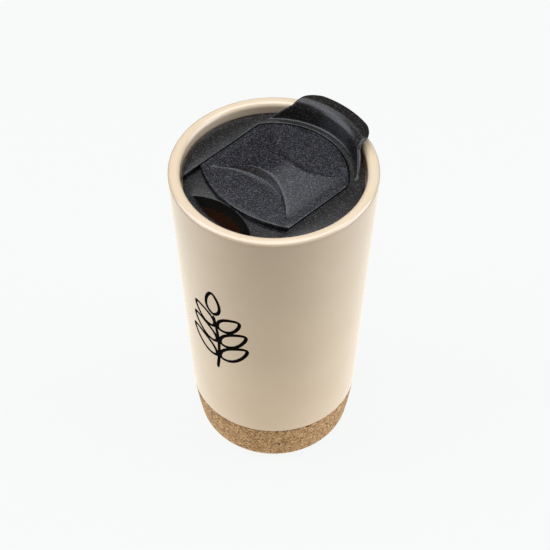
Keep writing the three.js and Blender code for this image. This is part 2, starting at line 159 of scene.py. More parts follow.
# ---- Sizes of the slider ----
SLIDER_HALF_WIDTH = 26.2
SLIDER_FAR_RADIUS = 31.3
SLIDER_FAR_CORNER = 2.5
SLIDER_NEAR_ARC = 49.5
SLIDER_NEAR_CENTRE = SLIDER_NEAR_ARC - 25.0
SLIDER_EDGE_ROUND = 0.42
GRIP_HEIGHT = 4.0
GRIP_HALF_WIDTH = 22.5
NEAR_POCKET_ARC = 29.5
NEAR_POCKET_CENTRE = -5.2 - NEAR_POCKET_ARC
NEAR_POCKET_LEAN = 1.7
FAR_POCKET_ARC = 25.0
FAR_POCKET_CENTRE = 7.8 + FAR_POCKET_ARC
FAR_POCKET_LEAN = 1.2
POCKET_SOFTNESS = 0.18

# ---- Sizes of the lifting tab ----
TAB_FOOT_RADIUS = 34.4
TAB_LEAN = 1.2
TAB_WALL_HEIGHT = 6.2
TAB_THICKNESS = 1.9
TAB_BEND = 4.2
TAB_DROOP = 0.28
TAB_REACH = 45.4
TAB_FOOT_HALF_WIDTH = 26.5
TAB_SIDE_SLOPE = 0.81
TAB_TIP_HALF_WIDTH = 20.5
TAB_TIP_CORNER = 14.3
TAB_FOOT_FILLET = 0.6
TAB_SHOULDER_SOFTNESS = 2.0
TAB_SHOULDER_SPREAD = 6.0


# ---- Making meshes ----

def grid_mesh(name, points, wrap_rows=False, wrap_columns=False, sharp_degrees=32.0, turn=0.0):
    """A closed surface through a grid of points, rows by columns by xyz in millimetres.

    Either direction may run back into its start. Points that coincide are joined, which closes
    seams and poles, and the faces are turned outwards.
    """
    points = np.asarray(points, float)
    if turn:
        c, s = math.cos(turn), math.sin(turn)
        x, y = points[..., 0].copy(), points[..., 1].copy()
        points = np.stack([c * x - s * y, s * x + c * y, points[..., 2]], axis=-1)
    rows, columns = points.shape[:2]
    index = np.arange(rows * columns).reshape(rows, columns)
    if wrap_rows:
        index = np.concatenate([index, index[:1]], axis=0)
    if wrap_columns:
        index = np.concatenate([index, index[:, :1]], axis=1)
    around = [index[:-1, :-1], index[1:, :-1], index[1:, 1:], index[:-1, 1:]]
    quads = np.stack(around, axis=-1).reshape(-1, 4)
    mesh = bpy.data.meshes.new(name)
    mesh.from_pydata((points.reshape(-1, 3) * MM).tolist(), [], quads.tolist())
    work = bmesh.new()
    work.from_mesh(mesh)
    bmesh.ops.remove_doubles(work, verts=work.verts, dist=2e-7)
    bmesh.ops.dissolve_degenerate(work, edges=work.edges, dist=1e-7)
    bmesh.ops.recalc_face_normals(work, faces=work.faces)
    work.to_mesh(mesh)
    work.free()
    mesh.shade_smooth()
    mesh.set_sharp_from_angle(angle=math.radians(sharp_degrees))
    piece = bpy.data.objects.new(name, mesh)
    bpy.context.scene.collection.objects.link(piece)
    return piece


def join(name, pieces):
    """Several closed shells of one moulding, as one object."""
    with bpy.context.temp_override(active_object=pieces[0], selected_editable_objects=pieces):
        bpy.ops.object.join()
    pieces[0].name = pieces[0].data.name = name
    return pieces[0]


def arc(centre_x, centre_y, radius, start, end, steps):
    """Points of a circle's arc, as an array of (x, y)."""
    angle = np.linspace(start, end, steps + 1)
    return np.stack([centre_x + radius * np.cos(angle), centre_y + radius * np.sin(angle)], axis=-1)


def line(start, end, steps):
    """Points of a straight line, as an array of (x, y)."""
    part = np.linspace(0, 1, steps + 1)[:, None]
    return np.array(start) * (1 - part) + np.array(end) * part


def turned(name, profile, steps=256, closed=False, sharp_degrees=32.0, turn=0.0):
    """A profile of (radius, height) carried round the upright axis: (r cos a, r sin a, z)."""
    angle = np.linspace(0, 2 * math.pi, steps, endpoint=False)[:, None]
    radius, height = profile[:, 0][None, :], profile[:, 1][None, :]
    points = np.stack(np.broadcast_arrays(radius * np.cos(angle), radius * np.sin(angle), height), axis=-1)
    return grid_mesh(name, points, True, closed, sharp_degrees, turn)


# ---- The cup's side ----
taper_angle = math.atan(SIDE_TAPER)
belly_radius = RIM_RADIUS - SIDE_TAPER * (LIP_HEIGHT - BELLY_HEIGHT)
belly_x = belly_radius - BELLY_ARC * math.cos(taper_angle)
belly_y = BELLY_HEIGHT + BELLY_ARC * math.sin(taper_angle)


def side_radius(height):
    """Outside radius at a height: straight above the belly, and one large arc below it."""
    height = np.asarray(height, float)
    straight = RIM_RADIUS - SIDE_TAPER * (LIP_HEIGHT - height)
    curved = belly_x + np.sqrt(BELLY_ARC ** 2 - (np.minimum(height, BELLY_HEIGHT) - belly_y) ** 2)
    return np.where(height >= BELLY_HEIGHT, straight, curved)


def cup_outline(inset, floor_height, corner, top, corner_steps=24, side_steps=24):
    """From the axis out along a floor, round a corner and up a side that is set in by inset."""
    side_arc = BELLY_ARC - inset
    centre_z = floor_height + corner
    drop = centre_z - belly_y
    centre_r = belly_x + math.sqrt((side_arc - corner) ** 2 - drop ** 2)
    touch = math.asin(drop / (side_arc - corner))
    belly_end = math.asin((min(top, BELLY_HEIGHT) - belly_y) / side_arc)
    parts = [
        line((0, floor_height), (centre_r, floor_height), 6)[:-1],
        arc(centre_r, centre_z, corner, -HALF, touch, corner_steps)[:-1],
        arc(belly_x, belly_y, side_arc, touch, belly_end, side_steps),
    ]
    if top > BELLY_HEIGHT:
        heights = np.linspace(BELLY_HEIGHT, top, 12)[1:]
        parts.append(np.stack([side_radius(heights) - inset, heights], axis=-1))
    return np.concatenate(parts)


def glazed_body():
    """The fired cup: its outside, lip, mouth, seat and bore as one turned profile."""
    foot_inset = CORK_WALL + GAP
    seal_bottom = RIM_HEIGHT - SEAT_DEPTH - SEAL_LENGTH
    seal_radius = float(side_radius(seal_bottom)) - WALL_DEPTH + SEAL_STEP
    seat = RIM_HEIGHT - SEAT_DEPTH
    inside = LIP_INNER_ROUND
    seam_radius = float(side_radius(SEAM_HEIGHT + FOOT_EDGE_ROUND))
    side_heights = np.linspace(SEAM_HEIGHT + FOOT_EDGE_ROUND, LIP_HEIGHT, 40)[1:-1]
    profile = np.concatenate([
        cup_outline(foot_inset, FOOT_BOTTOM, CORK_CORNER - foot_inset, SEAM_HEIGHT),
        arc(seam_radius - FOOT_EDGE_ROUND, SEAM_HEIGHT + FOOT_EDGE_ROUND, FOOT_EDGE_ROUND, -HALF, 0, 8),
        np.stack([side_radius(side_heights), side_heights], axis=-1),
        arc(RIM_RADIUS - LIP_OUTER_ROUND, LIP_HEIGHT, LIP_OUTER_ROUND, -taper_angle, HALF, 14),
        arc(MOUTH_RADIUS + inside, RIM_HEIGHT - inside, inside, HALF, 2 * HALF, 14),
        arc(MOUTH_RADIUS - SEAT_CORNER, seat + SEAT_CORNER, SEAT_CORNER, 0, -HALF, 6),
        arc(seal_radius + SEAL_CORNER, seat - SEAL_CORNER, SEAL_CORNER, HALF, 2 * HALF, 6),
        [(seal_radius, seal_bottom)],
        cup_outline(WALL_DEPTH, BORE_FLOOR, BORE_CORNER, seal_bottom - SEAL_TAPER)[::-1],
    ])
    return turned("glazed_body", profile, steps=320, sharp_degrees=50)


def cork_cup():
    """The pressed cork cup, its outside pitted where granules have dropped out.

    Each pit lowers the surface along its radius by depth * (1 - (distance / size)^2)^2.
    """
    brim = CORK_TOP + SEAM_FILL
    outer = cup_outline(0, 0, CORK_CORNER, brim - CORK_EDGE_ROUND, corner_steps=36, side_steps=48)
    top = float(side_radius(brim - CORK_EDGE_ROUND))
    inner = cup_outline(CORK_WALL, CORK_WALL, CORK_CORNER - CORK_WALL, brim)
    profile = np.concatenate([
        outer,
        arc(top - CORK_EDGE_ROUND, brim - CORK_EDGE_ROUND, CORK_EDGE_ROUND, 0, HALF, 6)[1:],
        inner[::-1],
    ])
    steps = 400
    angle = np.linspace(0, 2 * math.pi, steps, endpoint=False)[:, None]
    radius = np.broadcast_to(profile[:, 0][None, :], (steps, len(profile))).copy()
    height = np.broadcast_to(profile[:, 1][None, :], (steps, len(profile)))
    outside = np.arange(len(profile)) < len(outer)
    chance = np.random.default_rng(11)
    for _ in range(420):
        turn, level = chance.uniform(0, 2 * math.pi), chance.uniform(1.0, CORK_TOP - 1.0)
        size, depth = chance.uniform(0.45, 0.95), chance.uniform(0.05, 0.2)
        across = (np.mod(angle - turn + math.pi, 2 * math.pi) - math.pi) * 35.0
        near = np.clip(1 - (across ** 2 + (height - level) ** 2) / size ** 2, 0, None)
        radius -= depth * near ** 2 * outside[None, :] * (height > 0.3)
    points = np.stack(np.broadcast_arrays(radius * np.cos(angle), radius * np.sin(angle), height), axis=-1)
    return grid_mesh("cork_cup", points, wrap_rows=True, sharp_degrees=60)


# ---- The printed sprig ----
PRINT_AZIMUTH = math.radians(-129)
PRINT_HEIGHT = 87.0
PRINT_STROKE = 1.7
PRINT_RELIEF = 0.045


def printed_stroke(name, path, closed):
    """A flat ribbon of ink along a path drawn in millimetres across and up the cup's side.

    Across the path the ribbon is a flat ellipse: half the stroke wide, and the relief high.
    """
    path = np.asarray(path, float)
    if closed:
        along = np.roll(path, -1, axis=0) - np.roll(path, 1, axis=0)
    else:
        along = np.gradient(path, axis=0)
    along /= np.linalg.norm(along, axis=1, keepdims=True)
    side = np.stack([-along[:, 1], along[:, 0]], axis=-1)
    ring = np.linspace(0, 2 * math.pi, 12, endpoint=False)[None, :]
    half = np.full(len(path), PRINT_STROKE / 2)
    if not closed:
        ends = np.minimum(np.arange(len(path)), np.arange(len(path))[::-1])
        half = half * np.sqrt(np.clip(1 - (1 - np.clip(ends / 4, 0, 1)) ** 2, 0, 1))
    flat = path[:, None, :] + side[:, None, :] * (half[:, None] * np.cos(ring))[..., None]
    lift = PRINT_RELIEF * np.sin(ring) * (half / (PRINT_STROKE / 2))[:, None]
    height = PRINT_HEIGHT + flat[..., 1]
    radius = side_radius(height)
    azimuth = PRINT_AZIMUTH + flat[..., 0] / radius
    out = radius + lift
    points = np.stack([out * np.cos(azimuth), out * np.sin(azimuth), height], axis=-1)
    return grid_mesh(name, points, wrap_rows=closed, wrap_columns=True, sharp_degrees=80)


def leaf(foot, direction, length, width):
    """A pointed leaf's outline: along it length * (1 - cos t) / 2, across it a skewed sine."""
    t = np.linspace(0, 2 * math.pi, 72, endpoint=False)
    along = length * (1 - np.cos(t)) / 2
    across = width / 2 * np.sin(t) * (1 + 0.35 * np.cos(t)) * np.abs(np.sin(t / 2)) ** 0.25
    forward = np.array([math.cos(direction), math.sin(direction)])
    sideways = np.array([-forward[1], forward[0]])
    return np.array(foot) + along[:, None] * forward + across[:, None] * sideways


def printed_sprig():
    """A plain sprig: a bowed stem, pairs of leaves up it, and one leaf at its tip."""
    bottom, top, bow = -25.0, 11.0, 1.8

    def stem_x(level):
        return bow * np.sin((level - bottom) / (top - bottom) * math.pi)

    rise = np.linspace(bottom, top, 60)
    strokes = [printed_stroke("stem", np.stack([stem_x(rise), rise], axis=-1), False)]
    for level, length in ((-17.0, 17.0), (-7.0, 16.0), (3.0, 13.5)):
        for hand in (-1, 1):
            direction = HALF - hand * math.radians(50)
            foot = (float(stem_x(level)) + hand * 1.3, level + 1.0)
            strokes.append(printed_stroke("leaf", leaf(foot, direction, length, 7.6), True))
    strokes.append(printed_stroke("leaf", leaf((0.0, top + 1.0), HALF, 13.5, 7.8), True))
    return join("printed_sprig", strokes)


# ---- The lid ----

def lens(inner_arc, outer_arc, margin=0.0, steps=48):
    """The drink opening's outline: an arc that bulges to the axis and one along the lid's edge."""
    inner, outer = inner_arc + margin, outer_arc + margin
    apart = OPENING_OUTER_CENTRE - OPENING_INNER_CENTRE
    meet = (inner ** 2 - outer ** 2 + apart ** 2) / (2 * apart)
    half_width = math.sqrt(inner ** 2 - meet ** 2) - OPENING_TIP_BLUNT
    inner_angle, outer_angle = math.asin(half_width / inner), math.asin(half_width / outer)
    return np.concatenate([
        arc(OPENING_INNER_CENTRE, 0, inner, -inner_angle, inner_angle, steps),
        arc(OPENING_OUTER_CENTRE, 0, outer, math.pi - outer_angle, math.pi + outer_angle, steps),
    ])


def lid_floor():
    """The channel's floor with the drink opening: rings from the disc's edge in to the opening and
    down its spout, and back out underneath. Each ring has a point for each point of the opening."""
    opening = lens(OPENING_INNER_ARC, OPENING_OUTER_ARC)
    count = len(opening)
    middle = opening.mean(axis=0)
    reach = np.abs(opening - middle).max(axis=0)
    skew = np.arctan2((opening[:, 1] - middle[1]) / reach[1], (opening[:, 0] - middle[0]) / reach[0])
    size = np.abs(skew)
    tips = 2.5
    away = size / HALF * tips
    near = tips + (size - HALF) / HALF * (math.pi - tips)
    azimuth = np.sign(skew) * np.where(size < HALF, away, near)

    def disc(radius):
        return np.stack([radius * np.cos(azimuth), radius * np.sin(azimuth)], axis=-1)

    def ring(outline, height):
        return np.concatenate([outline, np.full((count, 1), height)], axis=1)

    spout = (OPENING_INNER_ARC - SPOUT_TAPER, OPENING_OUTER_ARC - SPOUT_OUTER_TAPER)
    edge = OPENING_EDGE_ROUND
    top_edge = disc(LID_RADIUS - FLOOR_TOP_ROUND)
    rings = [ring(top_edge, CHANNEL_FLOOR)]
    wide = lens(OPENING_INNER_ARC, OPENING_OUTER_ARC, edge)
    rings.append(ring((top_edge + wide) / 2, CHANNEL_FLOOR))
    for angle in np.linspace(0, HALF, 6):
        margin = edge * (1 - math.sin(angle))
        outline = lens(OPENING_INNER_ARC, OPENING_OUTER_ARC, margin)
        rings.append(ring(outline, CHANNEL_FLOOR - edge * (1 - math.cos(angle))))
    lip = SPOUT_LIP_ROUND
    rings.append(ring(lens(*spout, 0.0), SPOUT_BOTTOM + lip))
    rings.append(ring(lens(*spout, lip), SPOUT_BOTTOM))
    for margin, height in ((lip, SPOUT_BOTTOM), (0, SPOUT_BOTTOM + lip), (0, FLOOR_UNDER)):
        outline = lens(*spout, SPOUT_WALL - margin)
        length = np.linalg.norm(outline, axis=1, keepdims=True)
        rings.append(ring(outline * np.minimum(1, (SKIRT_RADIUS - SPOUT_INSIDE_SKIRT) / length), height))
    under, top = FLOOR_UNDER_ROUND, FLOOR_TOP_ROUND
    rings.append(ring(disc(LID_RADIUS - under), FLOOR_UNDER))
    for angle in np.linspace(-HALF, 0, 5)[1:]:
        out = LID_RADIUS - under + under * math.cos(angle)
        rings.append(ring(disc(out), FLOOR_UNDER + under + under * math.sin(angle)))
    for angle in np.linspace(0, HALF, 5)[:-1]:
        out = LID_RADIUS - top + top * math.cos(angle)
        rings.append(ring(disc(out), CHANNEL_FLOOR - top + top * math.sin(angle)))
    points = np.stack(rings, axis=1)
    return grid_mesh("floor", points, wrap_rows=True, wrap_columns=True, turn=LID_TURN)


def channel_radius(azimuth):
    """Distance from the axis to the channel's edge: straight sides, round corners, a round end."""
    size = np.abs(azimuth)
    corner_y = CHANNEL_HALF_WIDTH - CHANNEL_CORNER
    corner_x = math.sqrt((CHANNEL_END - CHANNEL_CORNER) ** 2 - corner_y ** 2)
    along = corner_x * np.cos(size) + corner_y * np.sin(size)
    inside = np.maximum(along ** 2 - corner_x ** 2 - corner_y ** 2 + CHANNEL_CORNER ** 2, 0)
    straight = CHANNEL_HALF_WIDTH / np.maximum(np.sin(size), 1e-6)
    at_side = size > math.atan2(CHANNEL_HALF_WIDTH, corner_x)
    at_end = size < math.atan2(corner_y, corner_x)
    return np.where(at_side, straight, np.where(at_end, CHANNEL_END, along + np.sqrt(inside)))


def lid_deck():
    """The raised deck round the channel, as a section carried round the lid's edge.

    The section runs down the outer wall, over the top and down the channel's wall with the
    slider's rail cut into it, and it narrows to nothing where the channel runs out.
    """
    tip = math.pi - math.asin(CHANNEL_HALF_WIDTH / LID_RADIUS)
    rail = math.atan2(CHANNEL_HALF_WIDTH, RAIL_END)
    half = np.concatenate([
        np.linspace(0, 0.96, 50),
        np.linspace(0.97, 1.04, 16),
        np.linspace(1.05, rail - 0.001, 12),
        np.linspace(rail + 0.001, tip, 90),
    ])
    azimuth = np.concatenate([-half[::-1], half[1:]])
    inner = channel_radius(azimuth)
    width = np.maximum(LID_RADIUS - inner, 0)
    shrink = np.clip(width / 1.5, 0, 1)
    out_round, in_round = DECK_EDGE_ROUND * shrink, CHANNEL_EDGE_ROUND * shrink
    groove = np.where(np.abs(azimuth) > rail, RAIL_DEPTH / np.maximum(np.sin(np.abs(azimuth)), 0.1), 0)
    groove = np.minimum(groove, width * 0.8)
    bottom = CHANNEL_FLOOR - 0.2
    columns = [(LID_RADIUS + 0 * inner, bottom + 0 * inner)]
    for angle in np.linspace(0, HALF, 6):
        across, up = 1 - math.cos(angle), 1 - math.sin(angle)
        columns.append((LID_RADIUS - out_round * across, DECK_TOP - out_round * up))
    for angle in np.linspace(0, HALF, 6):
        across, up = 1 - math.sin(angle), 1 - math.cos(angle)
        columns.append((inner + in_round * across, DECK_TOP - in_round * up))
    columns.append((inner, RAIL_TOP + 0 * inner))
    columns.append((inner + groove, RAIL_TOP + 0 * inner))
    columns.append((inner + groove, bottom + 0 * inner))
    radius = np.stack([c[0] for c in columns], axis=1)
    height = np.stack([c[1] for c in columns], axis=1)
    turn = azimuth[:, None]
    points = np.stack([radius * np.cos(turn), radius * np.sin(turn), height], axis=-1)
    return grid_mesh("deck", points, wrap_columns=True, turn=LID_TURN)


def tab_half_width(radius, height):
    """Half the tab's width: its sides slope in as it rises, and its tip has round corners.

    From above, the tip is a circle's arc between two round corners, and it spreads evenly from
    them towards the axis. That limit a and the sloping side b are blended where they meet, over a
    softness s: (a + b - sqrt((a - b)^2 + s^2)) / 2.
    """
    sloping = TAB_FOOT_HALF_WIDTH - TAB_SIDE_SLOPE * (height - DECK_TOP)
    corner_y = TAB_TIP_HALF_WIDTH - TAB_TIP_CORNER
    corner_x = math.sqrt((TAB_REACH - TAB_TIP_CORNER) ** 2 - corner_y ** 2)
    widest_at = math.hypot(corner_x, TAB_TIP_HALF_WIDTH)
    y = np.linspace(0, TAB_TIP_HALF_WIDTH, 4000)[None, :]
    x = np.sqrt(np.maximum(np.maximum(radius, widest_at)[:, None] ** 2 - y ** 2, 0))
    in_corner = (x - corner_x) ** 2 + (y - corner_y) ** 2 < TAB_TIP_CORNER ** 2
    inside = np.logical_and.accumulate(in_corner | (y * corner_x < x * corner_y), axis=1)
    tip = np.where(inside, y, 0).max(axis=1) + np.maximum(widest_at - radius, 0) * TAB_SHOULDER_SPREAD
    return (sloping + tip - np.sqrt((sloping - tip) ** 2 + TAB_SHOULDER_SOFTNESS ** 2)) / 2


def lifting_tab():
    """A flat loop of section carried up the tab's middle line and out along its flange.

    Each loop follows the lid's round, is as wide as the tab is there, and has round sides. It
    flares at the foot, and closes on itself round the tip.
    """
    lean = math.atan(TAB_LEAN / TAB_WALL_HEIGHT)
    half = TAB_THICKNESS / 2
    bend_x = TAB_FOOT_RADIUS + TAB_LEAN + TAB_BEND * math.cos(lean)
    bend_z = DECK_TOP + TAB_WALL_HEIGHT - TAB_BEND * math.sin(lean)
    bend_end = HALF - TAB_DROOP
    middle = TAB_BEND - half
    foot = np.array([TAB_FOOT_RADIUS + half - 0.8 * math.tan(lean), DECK_TOP - 0.8])
    wall = line(foot, (bend_x - middle * math.cos(lean), bend_z + middle * math.sin(lean)), 30)[:-1]
    bend = arc(bend_x, bend_z, middle, math.pi - lean, bend_end, 24)
    last = bend[-1]
    forward = np.array([math.cos(TAB_DROOP), -math.sin(TAB_DROOP)])
    length = (TAB_REACH - half - last[0]) / forward[0]
    flange = last + forward * (length * np.sin(np.linspace(0, HALF, 40))[1:, None])
    closing = np.linspace(0, HALF, 10)[1:]
    tip = flange[-1] + forward * (half * np.sin(closing))[:, None]
    spine = np.concatenate([wall, bend, flange, tip])
    thick = np.concatenate([np.full(len(spine) - len(tip), half), half * np.cos(closing)])
    fillet = np.clip(1 - (spine[:, 1] - DECK_TOP) / TAB_FOOT_FILLET, 0, 1)
    flare = TAB_FOOT_FILLET * (1 - np.sqrt(1 - fillet ** 2)) * (spine[:, 0] < TAB_FOOT_RADIUS + 2)
    thick = thick + flare
    along = np.gradient(spine, axis=0)
    along /= np.linalg.norm(along, axis=1, keepdims=True)
    along[-len(tip):] = forward
    normal = np.stack([-along[:, 1], along[:, 0]], axis=-1)
    width = tab_half_width(spine[:, 0], spine[:, 1]) + flare
    across = np.linspace(-1, 1, 61)
    round_side = np.linspace(HALF, -HALF, 9)[1:-1]
    flat = (width - thick)[:, None]
    loop_y = np.concatenate([
        flat * across,
        flat + thick[:, None] * np.cos(round_side),
        flat * across[::-1],
        -flat - thick[:, None] * np.cos(round_side[::-1]),
    ], axis=1)
    lift = np.concatenate([
        np.ones(len(across)), np.sin(round_side), -np.ones(len(across)), np.sin(round_side[::-1]),
    ])[None, :] * thick[:, None]
    radius = spine[:, 0][:, None] + normal[:, 0][:, None] * lift
    height = spine[:, 1][:, None] + normal[:, 1][:, None] * lift
    points = np.stack([np.sqrt(np.maximum(radius ** 2 - loop_y ** 2, 0)), loop_y, height], axis=-1)
    return grid_mesh("tab", points, wrap_columns=True, turn=LID_TURN, sharp_degrees=50)


def lid_skirt():
    """The skirt under the lid: a ring with a groove for the gasket and a chamfer by the spout."""
    groove_top = gasket_high[2] + GAP
    groove_bottom = gasket_low[2] - GAP
    profile = np.array([
        (SKIRT_RADIUS - 1.0, FLOOR_UNDER + 0.3), (SKIRT_INNER + 1.6, FLOOR_UNDER + 0.3),
        (SKIRT_INNER + 1.6, SPOUT_BOTTOM), (SKIRT_INNER, SPOUT_BOTTOM - SPOUT_TAPER),
        (SKIRT_INNER, SKIRT_BOTTOM + 0.4), (SKIRT_INNER + 0.4, SKIRT_BOTTOM),
        (SKIRT_RADIUS - 0.6, SKIRT_BOTTOM), (SKIRT_RADIUS, SKIRT_BOTTOM + 0.6),
        (SKIRT_RADIUS, groove_bottom), (SKIRT_RADIUS - GROOVE_DEPTH, groove_bottom),
        (SKIRT_RADIUS - GROOVE_DEPTH, groove_top), (SKIRT_RADIUS, groove_top),
        (SKIRT_RADIUS, FLOOR_UNDER + 0.3),
    ])
    return turned("skirt", profile, steps=192, closed=True)


def lid_moulding():
    return join("lid_moulding", [lid_deck(), lid_floor(), lifting_tab(), lid_skirt()])


def gasket_ring():
    """The silicone ring: a flat band with soft round fins standing out of it."""
    inner = SKIRT_RADIUS - GROOVE_DEPTH + GAP
    outer = inner + 1.0
    tip = gasket_high[0]
    low, high = gasket_low[2], gasket_high[2]
    heights = np.linspace(low, high, 60)
    swell = np.clip(np.sin((heights - low) / (high - low) * 4 * math.pi - HALF), 0, 1) ** 0.6
    profile = np.concatenate([
        [(inner, low)], np.stack([outer + (tip - outer) * swell, heights], axis=-1), [(inner, high)],
    ])
    return turned("gasket_ring", profile, steps=256, closed=True)


# ---- The slider ----

def grip_rise(y):
    """Height of the grip's arch over the plate at a place across it: (1 - (y / half)^2)^2."""
    return GRIP_HEIGHT * np.clip(1 - (y / GRIP_HALF_WIDTH) ** 2, 0, 1) ** 2


def soft_step(part):
    """A ramp from 0 to 1 whose two ends are rounded off over a short stretch."""
    d = POCKET_SOFTNESS
    start = part ** 2 / (2 * d * (1 - d))
    end = 1 - (1 - part) ** 2 / (2 * d * (1 - d))
    return np.where(part < d, start, np.where(part > 1 - d, end, (part - d / 2) / (1 - d)))


def slider_plate():
    """The slider as lengthwise sections set side by side across it.

    At each place across, the section rises at the near edge, runs over the near hollow, up the
    grip's leaning wall, over its arch, down into the far hollow and down the far edge.
    """
    edge = SLIDER_EDGE_ROUND
    turn = np.linspace(0, HALF, 7)
    border = SLIDER_HALF_WIDTH - edge * (1 - np.sin(turn))
    corner_y = SLIDER_HALF_WIDTH - SLIDER_FAR_CORNER
    corner_rows = corner_y + SLIDER_FAR_CORNER * np.sin(np.linspace(0, 1.25, 16))
    inner_rows = np.linspace(0, corner_y, 110)
    half = np.unique(np.concatenate([inner_rows, corner_rows, border]))
    y = np.concatenate([-half[::-1], half[1:]])
    over = np.clip((np.abs(y) - (SLIDER_HALF_WIDTH - edge)) / edge, 0, 1)
    top = DECK_TOP - edge * (1 - np.sqrt(1 - over ** 2))
    near = SLIDER_NEAR_CENTRE - np.sqrt(SLIDER_NEAR_ARC ** 2 - y ** 2)
    corner_x = math.sqrt((SLIDER_FAR_RADIUS - SLIDER_FAR_CORNER) ** 2 - corner_y ** 2)
    into = np.clip((np.abs(y) - corner_y) / SLIDER_FAR_CORNER, 0, 1)
    bend = corner_x + SLIDER_FAR_CORNER * np.sqrt(1 - into ** 2)
    touch = SLIDER_FAR_RADIUS * corner_y / (SLIDER_FAR_RADIUS - SLIDER_FAR_CORNER)
    round_end = np.sqrt(SLIDER_FAR_RADIUS ** 2 - np.minimum(np.abs(y), touch) ** 2)
    far = np.where(np.abs(y) > touch, bend, round_end)
    rise = grip_rise(y)
    share = rise / GRIP_HEIGHT
    soft = 0.25

    def pocket_x(centre, radius, facing):
        return centre + facing * np.sqrt(np.maximum(radius ** 2 - y ** 2, 0))

    low, high = near + edge, far - edge
    near_foot = pocket_x(NEAR_POCKET_CENTRE, NEAR_POCKET_ARC, 1) - soft * share
    near_top = pocket_x(NEAR_POCKET_CENTRE, NEAR_POCKET_ARC + NEAR_POCKET_LEAN * share, 1) + soft * share
    far_top = pocket_x(FAR_POCKET_CENTRE, FAR_POCKET_ARC, -1) - soft * share
    far_foot = pocket_x(FAR_POCKET_CENTRE, FAR_POCKET_ARC - FAR_POCKET_LEAN * share, -1) + soft * share
    near_foot, near_top = np.clip(near_foot, low, high), np.clip(near_top, low, high)
    far_top, far_foot = np.clip(far_top, near_top, high), np.clip(far_foot, near_top, high)
    xs, zs = [near], [PLATE_BOTTOM + 0 * y]
    for angle in np.linspace(0, HALF, 6):
        xs.append(near + edge * (1 - math.cos(angle)))
        zs.append(top - edge * (1 - math.sin(angle)))
    for part in np.linspace(0, 1, 10)[1:-1]:
        xs.append(low + (near_foot - low) * part)
        zs.append(top)
    for part in np.linspace(0, 1, 19):
        xs.append(near_foot + (near_top - near_foot) * part)
        zs.append(top + rise * soft_step(part))
    for part in np.linspace(0, 1, 14)[1:-1]:
        xs.append(near_top + (far_top - near_top) * part)
        zs.append(top + rise)
    for part in np.linspace(0, 1, 15):
        xs.append(far_top + (far_foot - far_top) * part)
        zs.append(top + rise * soft_step(np.array(1 - part)))
    for part in np.linspace(0, 1, 8)[1:-1]:
        xs.append(far_foot + (high - far_foot) * part)
        zs.append(top)
    for angle in np.linspace(HALF, 0, 6):
        xs.append(far - edge * (1 - math.cos(angle)))
        zs.append(top - edge * (1 - math.sin(angle)))
    xs.append(far)
    zs.append(PLATE_BOTTOM + 0 * y)
    x, z = np.stack(xs, axis=1), np.stack(zs, axis=1)
    points = np.stack([x, np.broadcast_to(y[:, None], x.shape), z], axis=-1)
    first, last = points[:1].copy(), points[-1:].copy()
    first[..., 2] = last[..., 2] = PLATE_BOTTOM
    points = np.concatenate([first, points, last])
    return grid_mesh("slider_plate", points, wrap_columns=True, turn=LID_TURN)


# ---- Materials ----

class Nodes:
    """A short hand for wiring one material's nodes."""

    def __init__(self, name):
        self.material = bpy.data.materials.new(name)
        self.material.use_nodes = True
        self.tree = self.material.node_tree
        self.tree.nodes.clear()
        self.shader = self.tree.nodes.new("ShaderNodeBsdfPrincipled")
        output = self.tree.nodes.new("ShaderNodeOutputMaterial")
        self.tree.links.new(self.shader.outputs["BSDF"], output.inputs["Surface"])
        self.place = self.tree.nodes.new("ShaderNodeTexCoord").outputs["Object"]

    def add(self, kind, **inputs):
        node = self.tree.nodes.new(kind)
        for key, value in inputs.items():
            self.put(node, key.replace("_", " "), value)
        return node

    def put(self, node, key, value):
        socket = node.inputs[int(key)] if key.isdigit() else node.inputs[key]
        if isinstance(value, bpy.types.NodeSocket):
            self.tree.links.new(value, socket)
        else:
            socket.default_value = value

    def noise(self, millimetres, detail=2.0, roughness=0.5, place=None):
        node = self.add("ShaderNodeTexNoise", Scale=1 / (millimetres * MM), Detail=detail,
                        Roughness=roughness)
        self.put(node, "Vector", place or self.place)
        return node.outputs["Fac"]

    def cells(self, millimetres, output="Color", feature="F1"):
        node = self.add("ShaderNodeTexVoronoi", Scale=1 / (millimetres * MM))
        node.feature = feature
        self.put(node, "Vector", self.place)
        return node.outputs[output]

    def ramp(self, value, *stops):
        """Maps a value through (position, colour) stops. A colour may be one grey number."""
        node = self.add("ShaderNodeValToRGB")
        while len(node.color_ramp.elements) < len(stops):
            node.color_ramp.elements.new(0.5)
        for element, (position, colour) in zip(node.color_ramp.elements, stops):
            element.position = position
            grey = isinstance(colour, (int, float))
            element.color = (colour, colour, colour, 1) if grey else (*colour, 1)
        self.tree.links.new(value, node.inputs["Fac"])
        return node.outputs["Color"]

    def mix(self, factor, first, second, mode="MIX"):
        node = self.tree.nodes.new("ShaderNodeMix")
        node.data_type = "RGBA"
        node.blend_type = mode
        self.put(node, "Factor", factor)
        for key, value in ((6, first), (7, second)):
            if isinstance(value, bpy.types.NodeSocket):
                self.tree.links.new(value, node.inputs[key])
            else:
                node.inputs[key].default_value = (*value, 1)
        return node.outputs[2]

    def math(self, operation, first, second=0.0):
        node = self.tree.nodes.new("ShaderNodeMath")
        node.operation = operation
        self.put(node, "0", first)
        self.put(node, "1", second)
        return node.outputs[0]

    def bump(self, height, millimetres, strength=1.0, below=None):
        node = self.add("ShaderNodeBump", Strength=strength, Distance=millimetres * MM, Height=height)
        if below is not None:
            self.put(node, "Normal", below)
        return node.outputs["Normal"]

    def finish(self, **inputs):
        for key, value in inputs.items():
            name = key.replace("_", " ")
            if isinstance(value, tuple) and len(value) == 3:
                value = (*value, 1)
            self.put(self.shader, name, value)
        return self.material


